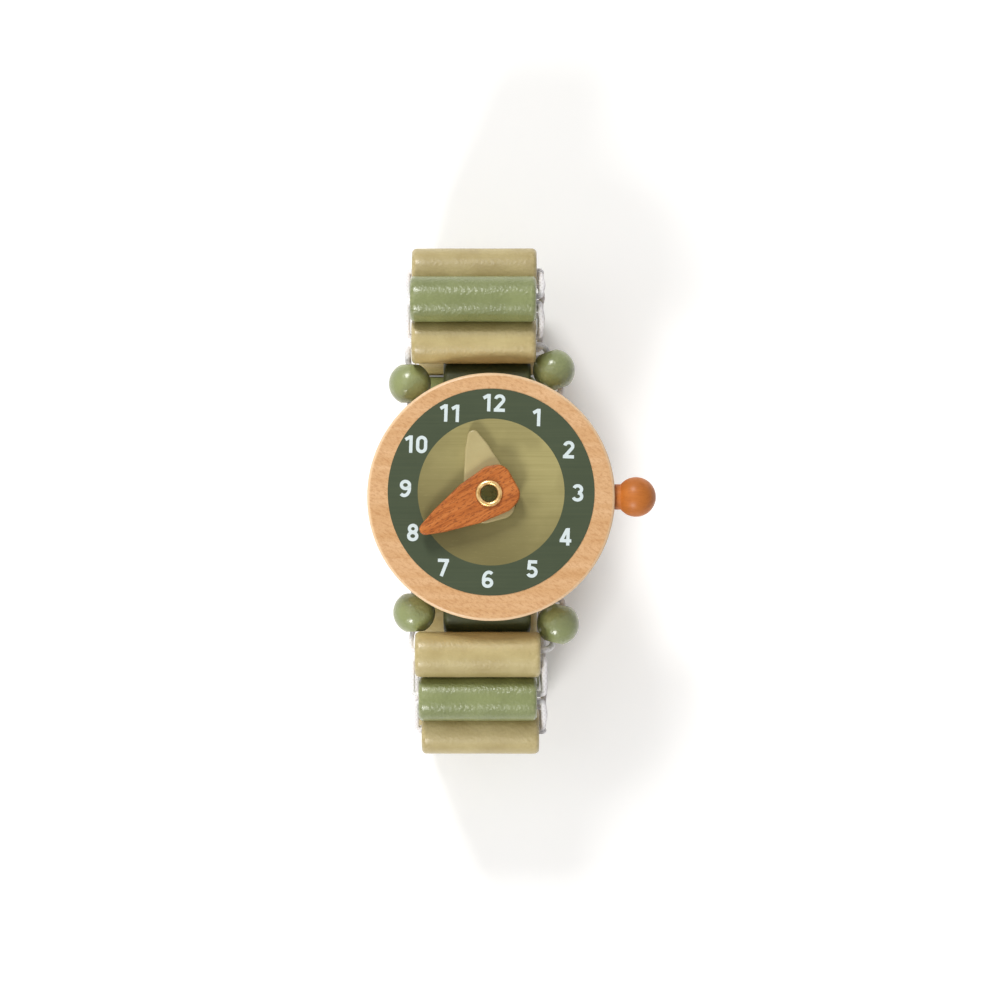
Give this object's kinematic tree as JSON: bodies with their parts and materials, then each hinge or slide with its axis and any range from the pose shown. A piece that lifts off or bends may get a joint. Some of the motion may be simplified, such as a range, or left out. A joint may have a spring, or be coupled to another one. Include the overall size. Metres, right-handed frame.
{
  "type": "toy wrist watch",
  "caption": "Wooden toy wrist watch: a round beech face with turning hands and a knob crown, on a stretchy strap of painted tube beads laced side by side on elastic.",
  "frame": {"origin": "on the axis of the hands, in the plane of the back of the beech face", "axes": "+Z out of the dial, +Y towards twelve o'clock, +X towards the crown"},
  "size_m": [0.042, 0.0746, 0.0357],
  "materials": {
    "beech": "clear-lacquered beech",
    "khaki_wood": "glossy khaki paint on wood",
    "sage_wood": "glossy sage green paint on wood",
    "khaki_hand": "smooth satin khaki paint on wood",
    "orange_wood": "orange stain with the grain showing, satin lacquer",
    "ring_paint": "dark green-grey printed paint",
    "middle_paint": "olive printed paint",
    "brass": "bright brass",
    "elastic": "braided white elastic"
  },
  "bodies": {
    "watch_face": {"beech_face": "beech", "dial_ring_paint": "ring_paint", "dial_middle_paint": "middle_paint", "eyelet_rivet": "brass", "back_washer": "brass", "crown": "orange_wood", "lug_bar_upper": "sage_wood", "lug_bar_lower": "sage_wood", "elastic_knot": "elastic", "elastic_link_00": "elastic", "elastic_link_19": "elastic"},
    "hour_hand": {"hour_hand": "khaki_hand"},
    "minute_hand": {"minute_hand": "orange_wood"},
    "ball_bead_upper_right": {"ball_bead_upper_right": "sage_wood"},
    "ball_bead_upper_left": {"ball_bead_upper_left": "sage_wood"},
    "ball_bead_lower_right": {"ball_bead_lower_right": "sage_wood"},
    "ball_bead_lower_left": {"ball_bead_lower_left": "sage_wood"},
    "strap_bead_01": {"strap_bead_01": "khaki_wood", "elastic_link_01": "elastic"},
    "strap_bead_02": {"strap_bead_02": "sage_wood", "elastic_link_02": "elastic"},
    "strap_bead_03": {"strap_bead_03": "khaki_wood", "elastic_link_03": "elastic"},
    "strap_bead_04": {"strap_bead_04": "sage_wood", "elastic_link_04": "elastic"},
    "strap_bead_05": {"strap_bead_05": "khaki_wood", "elastic_link_05": "elastic"},
    "strap_bead_06": {"strap_bead_06": "sage_wood", "elastic_link_06": "elastic"},
    "strap_bead_07": {"strap_bead_07": "khaki_wood", "elastic_link_07": "elastic"},
    "strap_bead_08": {"strap_bead_08": "sage_wood", "elastic_link_08": "elastic"},
    "strap_bead_09": {"strap_bead_09": "khaki_wood", "elastic_link_09": "elastic"},
    "strap_bead_10": {"strap_bead_10": "sage_wood", "elastic_link_10": "elastic"},
    "strap_bead_11": {"strap_bead_11": "khaki_wood"},
    "strap_bead_12": {"strap_bead_12": "sage_wood", "elastic_link_11": "elastic"},
    "strap_bead_13": {"strap_bead_13": "khaki_wood", "elastic_link_12": "elastic"},
    "strap_bead_14": {"strap_bead_14": "sage_wood", "elastic_link_13": "elastic"},
    "strap_bead_15": {"strap_bead_15": "khaki_wood", "elastic_link_14": "elastic"},
    "strap_bead_16": {"strap_bead_16": "sage_wood", "elastic_link_15": "elastic"},
    "strap_bead_17": {"strap_bead_17": "khaki_wood", "elastic_link_16": "elastic"},
    "strap_bead_18": {"strap_bead_18": "sage_wood", "elastic_link_17": "elastic"},
    "strap_bead_19": {"strap_bead_19": "khaki_wood", "elastic_link_18": "elastic"}
  },
  "joints": [
    {"name": "hour_hand_turn", "type": "hinge", "parent": "watch_face", "child": "hour_hand", "pos_m": [0, 0, 0.0068], "axis": [0, 0, 1], "continuous": true},
    {"name": "minute_hand_turn", "type": "hinge", "parent": "watch_face", "child": "minute_hand", "pos_m": [0, 0, 0.00812], "axis": [0, 0, 1], "continuous": true},
    {"name": "ball_bead_upper_right_spin", "type": "hinge", "parent": "watch_face", "child": "ball_bead_upper_right", "pos_m": [0.0095, 0.0181, -0.00173], "axis": [-0.342, 0.9397, 0], "continuous": true},
    {"name": "ball_bead_upper_left_spin", "type": "hinge", "parent": "watch_face", "child": "ball_bead_upper_left", "pos_m": [-0.01164, 0.01612, -0.00173], "axis": [0, 1, 0], "continuous": true},
    {"name": "ball_bead_lower_right_spin", "type": "hinge", "parent": "watch_face", "child": "ball_bead_lower_right", "pos_m": [0.0101, -0.0191, -0.00173], "axis": [-0.2419, -0.9703, 0], "continuous": true},
    {"name": "ball_bead_lower_left_spin", "type": "hinge", "parent": "watch_face", "child": "ball_bead_lower_left", "pos_m": [-0.011, -0.01743, -0.00173], "axis": [0.0523, -0.9986, 0], "continuous": true},
    {"name": "strap_stretch", "type": "slide", "parent": "watch_face", "child": "strap_bead_01", "axis": [0, 1, 0], "range_m": [0, 0.00246], "stiffness_N_per_m": 1700, "deforming": ["elastic_link_00"]},
    {"name": "bead_02_slide", "type": "slide", "parent": "strap_bead_01", "child": "strap_bead_02", "axis": [0, 1, 0], "range_m": [0, 0.00242], "stiffness_N_per_m": 1700, "deforming": ["elastic_link_01"]},
    {"name": "bead_03_slide", "type": "slide", "parent": "strap_bead_02", "child": "strap_bead_03", "axis": [0, 1, 0], "range_m": [0, 0.00174], "stiffness_N_per_m": 1700, "deforming": ["elastic_link_02"]},
    {"name": "bead_04_slide", "type": "slide", "parent": "strap_bead_03", "child": "strap_bead_04", "axis": [0, -0.0104, -0.9999], "range_m": [0, 0.0023], "stiffness_N_per_m": 1700, "deforming": ["elastic_link_03"]},
    {"name": "bead_05_slide", "type": "slide", "parent": "strap_bead_04", "child": "strap_bead_05", "axis": [0, -0.0701, -0.9975], "range_m": [0, 0.00272], "stiffness_N_per_m": 1700, "deforming": ["elastic_link_04"]},
    {"name": "bead_06_slide", "type": "slide", "parent": "strap_bead_05", "child": "strap_bead_06", "axis": [0, -0.3414, -0.9399], "range_m": [0, 0.00236], "stiffness_N_per_m": 1700, "deforming": ["elastic_link_05"]},
    {"name": "bead_07_slide", "type": "slide", "parent": "strap_bead_06", "child": "strap_bead_07", "axis": [0, -0.7506, -0.6608], "range_m": [0, 0.00167], "stiffness_N_per_m": 1700, "deforming": ["elastic_link_06"]},
    {"name": "bead_08_slide", "type": "slide", "parent": "strap_bead_07", "child": "strap_bead_08", "axis": [0, -1, 0], "range_m": [0, 0.00137], "stiffness_N_per_m": 1700, "deforming": ["elastic_link_07"]},
    {"name": "bead_09_slide", "type": "slide", "parent": "strap_bead_08", "child": "strap_bead_09", "axis": [0, -1, 0], "range_m": [0, 0.00137], "stiffness_N_per_m": 1700, "deforming": ["elastic_link_08"]},
    {"name": "bead_10_slide", "type": "slide", "parent": "strap_bead_09", "child": "strap_bead_10", "axis": [0, -1, 0], "range_m": [0, 0.00137], "stiffness_N_per_m": 1700, "deforming": ["elastic_link_09"]},
    {"name": "bead_19_slide", "type": "slide", "parent": "watch_face", "child": "strap_bead_19", "axis": [0, -1, 0], "range_m": [0, 0.00245], "stiffness_N_per_m": 1700, "deforming": ["elastic_link_19"]},
    {"name": "bead_18_slide", "type": "slide", "parent": "strap_bead_19", "child": "strap_bead_18", "axis": [0, -1, 0], "range_m": [0, 0.0025], "stiffness_N_per_m": 1700, "deforming": ["elastic_link_18"]},
    {"name": "bead_17_slide", "type": "slide", "parent": "strap_bead_18", "child": "strap_bead_17", "axis": [0, -0.7557, -0.6549], "range_m": [0, 0.0026], "stiffness_N_per_m": 1700, "deforming": ["elastic_link_17"]},
    {"name": "bead_16_slide", "type": "slide", "parent": "strap_bead_17", "child": "strap_bead_16", "axis": [0, -0.0168, -0.9999], "range_m": [0, 0.00274], "stiffness_N_per_m": 1700, "deforming": ["elastic_link_16"]},
    {"name": "bead_15_slide", "type": "slide", "parent": "strap_bead_16", "child": "strap_bead_15", "axis": [0, 0.198, -0.9802], "range_m": [0, 0.00259], "stiffness_N_per_m": 1700, "deforming": ["elastic_link_15"]},
    {"name": "bead_14_slide", "type": "slide", "parent": "strap_bead_15", "child": "strap_bead_14", "axis": [0, 0.6614, -0.75], "range_m": [0, 0.0018], "stiffness_N_per_m": 1700, "deforming": ["elastic_link_14"]},
    {"name": "bead_13_slide", "type": "slide", "parent": "strap_bead_14", "child": "strap_bead_13", "axis": [0, 1, 0], "range_m": [0, 0.00137], "stiffness_N_per_m": 1700, "deforming": ["elastic_link_13"]},
    {"name": "bead_12_slide", "type": "slide", "parent": "strap_bead_13", "child": "strap_bead_12", "axis": [0, 1, 0], "range_m": [0, 0.00137], "stiffness_N_per_m": 1700, "deforming": ["elastic_link_12"]},
    {"name": "bead_11_slide", "type": "slide", "parent": "strap_bead_12", "child": "strap_bead_11", "axis": [0, 1, 0], "range_m": [0, 0.00137], "stiffness_N_per_m": 1700, "deforming": ["elastic_link_11", "elastic_link_10"]}
  ],
  "couplings": [
    {"joint": "bead_02_slide", "follows": "strap_stretch", "ratio": 0.9816},
    {"joint": "bead_03_slide", "follows": "strap_stretch", "ratio": 0.70631},
    {"joint": "bead_04_slide", "follows": "strap_stretch", "ratio": 0.93241},
    {"joint": "bead_05_slide", "follows": "strap_stretch", "ratio": 1.1042},
    {"joint": "bead_06_slide", "follows": "strap_stretch", "ratio": 0.95743},
    {"joint": "bead_07_slide", "follows": "strap_stretch", "ratio": 0.6782},
    {"joint": "bead_08_slide", "follows": "strap_stretch", "ratio": 0.55617},
    {"joint": "bead_09_slide", "follows": "strap_stretch", "ratio": 0.55617},
    {"joint": "bead_10_slide", "follows": "strap_stretch", "ratio": 0.55617},
    {"joint": "bead_19_slide", "follows": "strap_stretch", "ratio": 0.99309},
    {"joint": "bead_18_slide", "follows": "strap_stretch", "ratio": 1.0127},
    {"joint": "bead_17_slide", "follows": "strap_stretch", "ratio": 1.0533},
    {"joint": "bead_16_slide", "follows": "strap_stretch", "ratio": 1.1123},
    {"joint": "bead_15_slide", "follows": "strap_stretch", "ratio": 1.0522},
    {"joint": "bead_14_slide", "follows": "strap_stretch", "ratio": 0.73149},
    {"joint": "bead_13_slide", "follows": "strap_stretch", "ratio": 0.55617},
    {"joint": "bead_12_slide", "follows": "strap_stretch", "ratio": 0.55617},
    {"joint": "bead_11_slide", "follows": "strap_stretch", "ratio": 0.55617}
  ]
}
